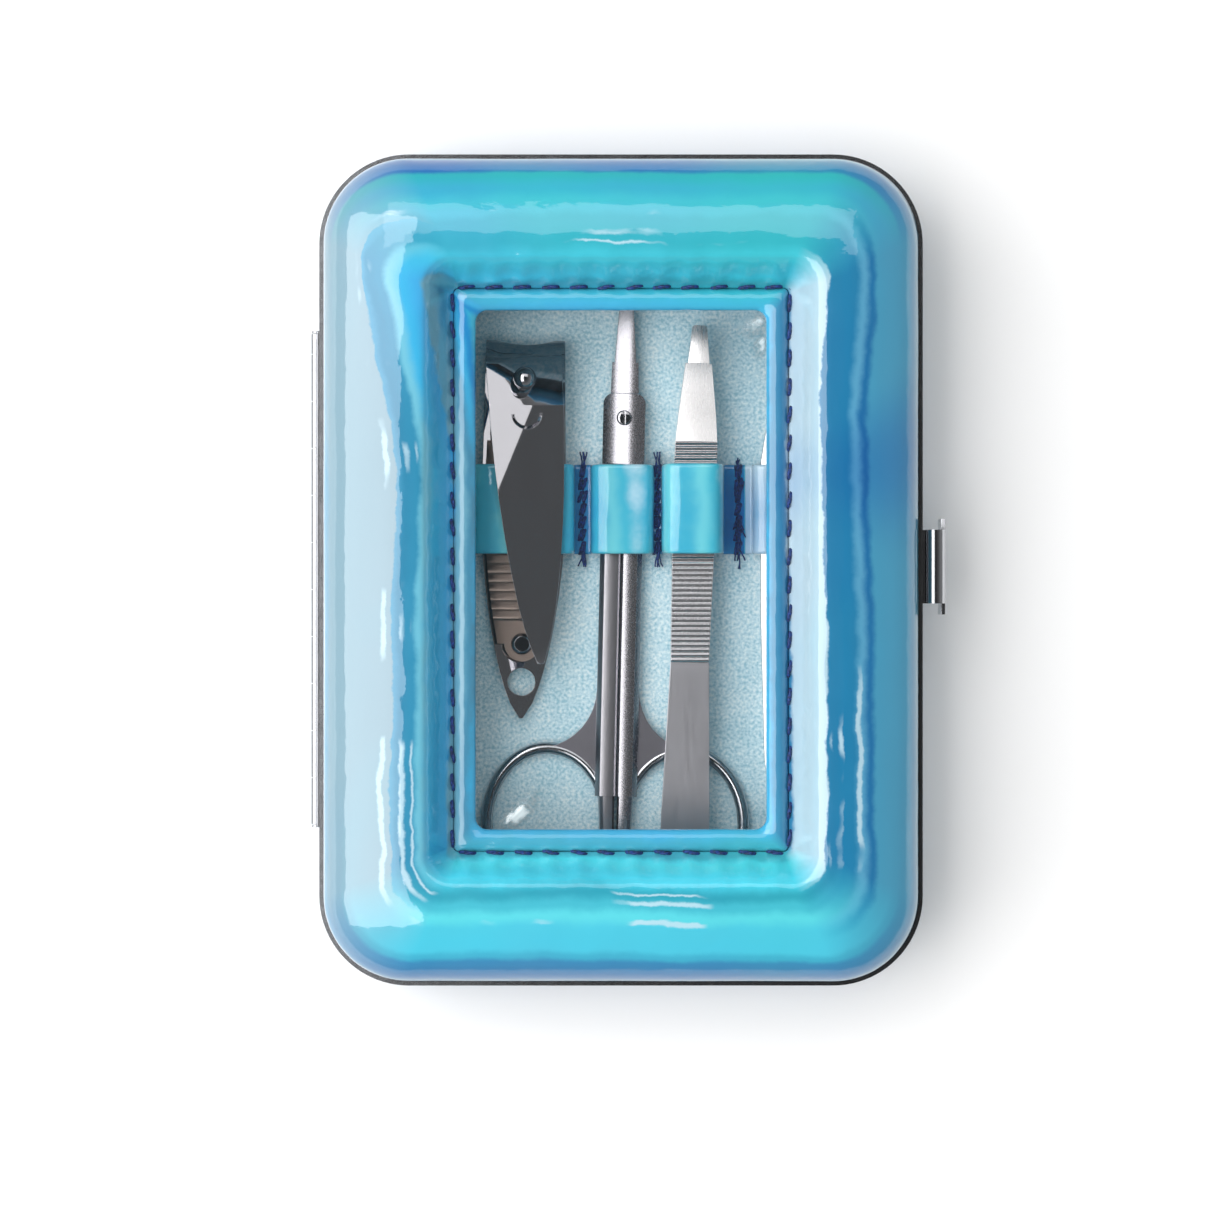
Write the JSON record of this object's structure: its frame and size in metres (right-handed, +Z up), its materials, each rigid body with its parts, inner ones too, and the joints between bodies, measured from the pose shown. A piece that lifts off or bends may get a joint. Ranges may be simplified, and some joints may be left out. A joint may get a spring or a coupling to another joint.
{
  "type": "manicure set case",
  "caption": "Padded clamshell case with steel rims, piano hinge, spring clasp and window lid, holding nail clipper, scissors, tweezers and cuticle pusher under a stitched strap.",
  "frame": {"origin": "middle of the flat underside that the case rests on", "axes": "+Z up out of the window lid, +X towards the clasp, +Y towards the tools' tips; the case is closed"},
  "size_m": [0.0929, 0.1204, 0.0295],
  "materials": {
    "holographic_pu": "glossy iridescent coated PU over foam",
    "strap_pu": "glossy iridescent coated PU",
    "shell_board": "plain moulded",
    "flocked_card": "matt flock",
    "clear_pvc": "clear flexible sheet",
    "plated_rim_steel": "polished nickel plate",
    "chromed_clipper_steel": "mirror chrome",
    "file_steel": "chromed, ridged",
    "nickel_scissor_steel": "satin nickel plate",
    "brushed_tweezer_steel": "brushed along its length",
    "satin_pusher_steel": "satin"
  },
  "bodies": {
    "base": {"base_cover": "holographic_pu", "base_shell": "shell_board", "base_frame": "plated_rim_steel", "base_lining": "flocked_card", "base_hinge_leaf": "plated_rim_steel", "hinge_pin": "plated_rim_steel", "clasp_catch": "plated_rim_steel", "tool_strap": "strap_pu", "clipper_lower_leaf": "chromed_clipper_steel", "clipper_pin": "chromed_clipper_steel", "scissor_screw": "nickel_scissor_steel", "cuticle_pusher": "satin_pusher_steel"},
    "lid": {"lid_cover": "holographic_pu", "lid_shell": "shell_board", "lid_frame": "plated_rim_steel", "lid_lining": "flocked_card", "lid_hinge_leaf": "plated_rim_steel", "window_pane": "clear_pvc", "window_binding": "holographic_pu", "clasp_bracket": "plated_rim_steel"},
    "clasp": {"clasp_tab": "plated_rim_steel"},
    "clipper_jaw": {"clipper_upper_leaf": "chromed_clipper_steel", "clipper_rivet": "chromed_clipper_steel"},
    "clipper_lever": {"clipper_lever": "chromed_clipper_steel"},
    "clipper_file": {"clipper_file": "file_steel"},
    "scissor_left": {"scissor_left_half": "nickel_scissor_steel"},
    "scissor_right": {"scissor_right_half": "nickel_scissor_steel"},
    "tweezer_upper": {"tweezer_upper_arm": "brushed_tweezer_steel"},
    "tweezer_lower": {"tweezer_lower_arm": "brushed_tweezer_steel"}
  },
  "joints": [
    {"name": "lid_hinge", "type": "hinge", "parent": "base", "child": "lid", "pos_m": [-0.0445, -0.0013, 0.015], "axis": [0, -1, 0], "range_deg": [0, 180]},
    {"name": "clasp_flex", "type": "hinge", "parent": "lid", "child": "clasp", "pos_m": [0.04415, 0.0005, 0.0191], "axis": [0, -1, 0], "range_deg": [0, 6], "stiffness_Nm_per_rad": 0.05},
    {"name": "clipper_squeeze", "type": "hinge", "parent": "base", "child": "clipper_jaw", "pos_m": [-0.01456, -0.0093, 0.00595], "axis": [-0.9999, 0.0131, 0], "range_deg": [0, 1], "stiffness_Nm_per_rad": 0.5},
    {"name": "clipper_lever_swivel", "type": "hinge", "parent": "base", "child": "clipper_lever", "pos_m": [-0.01407, 0.0281, 0.011], "axis": [0, 0, 1], "range_deg": [-32, 18]},
    {"name": "clipper_file_swing", "type": "hinge", "parent": "clipper_jaw", "child": "clipper_file", "pos_m": [-0.01458, -0.0108, 0.0069], "axis": [0, 0, 1], "range_deg": [-1, 1]},
    {"name": "scissor_left_open", "type": "hinge", "parent": "base", "child": "scissor_left", "pos_m": [0.00051, 0.0225, 0.006], "axis": [0, 0, -1], "range_deg": [0, 1.2]},
    {"name": "scissor_right_open", "type": "hinge", "parent": "base", "child": "scissor_right", "pos_m": [0.00051, 0.0225, 0.006], "axis": [0, 0, 1], "range_deg": [0, 1.2]},
    {"name": "tweezer_upper_squeeze", "type": "hinge", "parent": "base", "child": "tweezer_upper", "pos_m": [0.00937, -0.039, 0.0089], "axis": [-0.9996, 0.0297, 0], "range_deg": [0, 0.8], "stiffness_Nm_per_rad": 0.3},
    {"name": "tweezer_lower_squeeze", "type": "hinge", "parent": "base", "child": "tweezer_lower", "pos_m": [0.00937, -0.039, 0.0089], "axis": [-0.9996, 0.0297, 0], "range_deg": [-0.8, 0], "stiffness_Nm_per_rad": 0.3}
  ],
  "couplings": [
    {"joint": "scissor_right_open", "follows": "scissor_left_open", "ratio": 1},
    {"joint": "tweezer_lower_squeeze", "follows": "tweezer_upper_squeeze", "ratio": -1}
  ]
}
